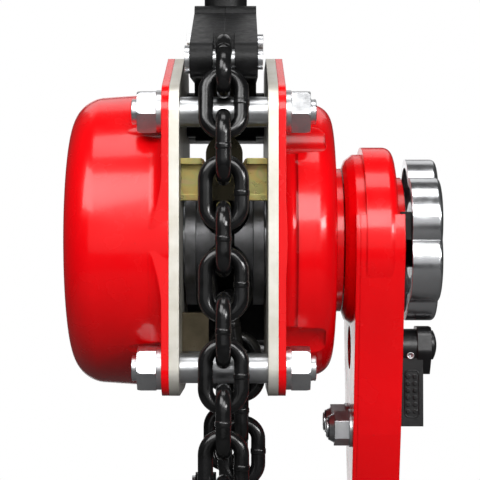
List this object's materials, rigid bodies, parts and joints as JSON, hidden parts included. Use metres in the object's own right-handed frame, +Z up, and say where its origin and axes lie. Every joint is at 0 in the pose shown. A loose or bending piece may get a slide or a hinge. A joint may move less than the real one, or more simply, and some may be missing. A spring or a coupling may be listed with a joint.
{
  "type": "lever chain hoist",
  "caption": "Hand lever chain hoist: geared load sheave between plates, load brake, ratchet lever with selector, swivel hooks with latches and a link chain.",
  "frame": {"origin": "centre of the top hook's bowl", "axes": "+X along the drive shaft towards the hand wheel, +Y away from the slack chain, +Z up"},
  "size_m": [0.1573, 0.1411, 0.4568],
  "materials": {
    "red_paint": "gloss enamel",
    "pale_zinc": "satin zinc plate",
    "bright_zinc": "bright zinc plate",
    "yellow_zinc": "yellow zinc plate",
    "olive_zinc": "dull olive plate",
    "dark_steel": "dark machined",
    "black_chain": "black oxide",
    "black_steel": "black oxide",
    "machined_steel": "machined",
    "friction_lining": "moulded lining",
    "chrome": "polished",
    "black_rubber": "matt",
    "black_plastic": "satin"
  },
  "bodies": {
    "frame": {"left_side_plate": "pale_zinc", "right_side_plate": "pale_zinc", "stay_bolts": "bright_zinc", "stay_nuts": "bright_zinc", "stay_washers": "bright_zinc", "gear_cover": "red_paint", "brake_cover": "red_paint", "top_yoke_left": "black_steel", "top_yoke_right": "black_steel", "yoke_bolts": "bright_zinc", "top_pin": "bright_zinc", "tail_anchor_pin": "bright_zinc", "chain_guide": "yellow_zinc", "chain_stripper": "olive_zinc", "rear_guard": "black_steel", "sheave_bush_left": "machined_steel", "sheave_bush_right": "machined_steel", "gear_keeper": "pale_zinc", "keeper_posts": "pale_zinc", "keeper_screws": "pale_zinc", "ratchet_disc": "machined_steel", "pawl_pins": "machined_steel", "load_chain": "black_chain", "chain_on_sheave": "black_chain", "tail_chain": "black_chain", "bottom_yoke_left": "black_steel", "bottom_yoke_right": "black_steel", "bottom_pin": "bright_zinc"},
    "sheave": {"load_sheave": "dark_steel", "load_gear": "machined_steel", "load_gear_circlip": "machined_steel"},
    "cluster_upper": {"cluster_wheel_upper": "machined_steel", "cluster_pinion_upper": "machined_steel"},
    "cluster_lower": {"cluster_wheel_lower": "machined_steel", "cluster_pinion_lower": "machined_steel"},
    "drive": {"drive_shaft": "machined_steel", "brake_hub": "machined_steel", "friction_discs": "friction_lining", "brake_nut": "machined_steel", "free_wheel_cam": "black_steel", "end_nut": "bright_zinc"},
    "free_wheel": {"hand_wheel": "chrome"},
    "lever": {"lever_housing": "red_paint", "lever_back_plate": "red_paint", "lever_grip": "black_rubber", "lever_bolts": "bright_zinc", "lever_lock_nuts": "bright_zinc"},
    "selector": {"selector_knob": "black_plastic", "selector_shaft": "machined_steel", "change_pawl": "machined_steel"},
    "pawl_upper": {"brake_pawl_upper": "machined_steel"},
    "pawl_lower": {"brake_pawl_lower": "machined_steel"},
    "upper_hook": {"top_hook": "black_steel", "top_latch_pin": "bright_zinc"},
    "upper_latch": {"top_latch": "bright_zinc"},
    "lower_hook": {"bottom_hook": "black_steel", "bottom_latch_pin": "bright_zinc"},
    "lower_latch": {"bottom_latch": "bright_zinc"}
  },
  "joints": [
    {"name": "sheave_spin", "type": "hinge", "parent": "frame", "child": "sheave", "pos_m": [0, -0.02272, -0.1463], "axis": [1, 0, 0], "continuous": true, "deforming": ["chain_on_sheave"]},
    {"name": "cluster_upper_spin", "type": "hinge", "parent": "frame", "child": "cluster_upper", "pos_m": [-0.04, -0.02272, -0.1163], "axis": [1, 0, 0], "continuous": true},
    {"name": "cluster_lower_spin", "type": "hinge", "parent": "frame", "child": "cluster_lower", "pos_m": [-0.04, -0.02272, -0.1763], "axis": [1, 0, 0], "continuous": true},
    {"name": "drive_spin", "type": "hinge", "parent": "frame", "child": "drive", "pos_m": [0, -0.02272, -0.1463], "axis": [1, 0, 0], "continuous": true},
    {"name": "hand_wheel_pull", "type": "slide", "parent": "drive", "child": "free_wheel", "axis": [1, 0, 0], "range_m": [0, 0.005], "stiffness_N_per_m": 300, "springref_m": -0.004},
    {"name": "lever_swing", "type": "hinge", "parent": "frame", "child": "lever", "pos_m": [0.06, -0.02272, -0.1463], "axis": [1, 0, 0], "continuous": true},
    {"name": "selector_turn", "type": "hinge", "parent": "lever", "child": "selector", "pos_m": [0.065, -0.02272, -0.1928], "axis": [1, 0, 0], "range_deg": [-16, 16]},
    {"name": "upper_pawl_lift", "type": "hinge", "parent": "frame", "child": "pawl_upper", "pos_m": [0.0328, -0.00253, -0.10833], "axis": [-1, 0, 0], "range_deg": [0, 12], "stiffness_Nm_per_rad": 0.05, "springref_deg": -17.19},
    {"name": "lower_pawl_lift", "type": "hinge", "parent": "frame", "child": "pawl_lower", "pos_m": [0.0328, -0.04291, -0.18427], "axis": [-1, 0, 0], "range_deg": [0, 12], "stiffness_Nm_per_rad": 0.05, "springref_deg": -17.19},
    {"name": "top_hook_swivel", "type": "hinge", "parent": "frame", "child": "upper_hook", "pos_m": [0, 0, -0.05], "axis": [0, 0, 1], "continuous": true},
    {"name": "top_latch_open", "type": "hinge", "parent": "upper_hook", "child": "upper_latch", "pos_m": [0, -0.00923, -0.02537], "axis": [-1, 0, 0], "range_deg": [0, 60], "stiffness_Nm_per_rad": 0.05, "springref_deg": -17.19},
    {"name": "bottom_hook_swivel", "type": "hinge", "parent": "frame", "child": "lower_hook", "pos_m": [0, 0, -0.28285], "axis": [0, 0, 1], "continuous": true},
    {"name": "bottom_latch_open", "type": "hinge", "parent": "lower_hook", "child": "lower_latch", "pos_m": [0, 0.00923, -0.30748], "axis": [-1, 0, 0], "range_deg": [0, 60], "stiffness_Nm_per_rad": 0.05, "springref_deg": -17.19}
  ],
  "couplings": [
    {"joint": "cluster_upper_spin", "follows": "sheave_spin", "ratio": -2.3333},
    {"joint": "cluster_lower_spin", "follows": "sheave_spin", "ratio": -2.3333},
    {"joint": "drive_spin", "follows": "sheave_spin", "ratio": 7}
  ]
}
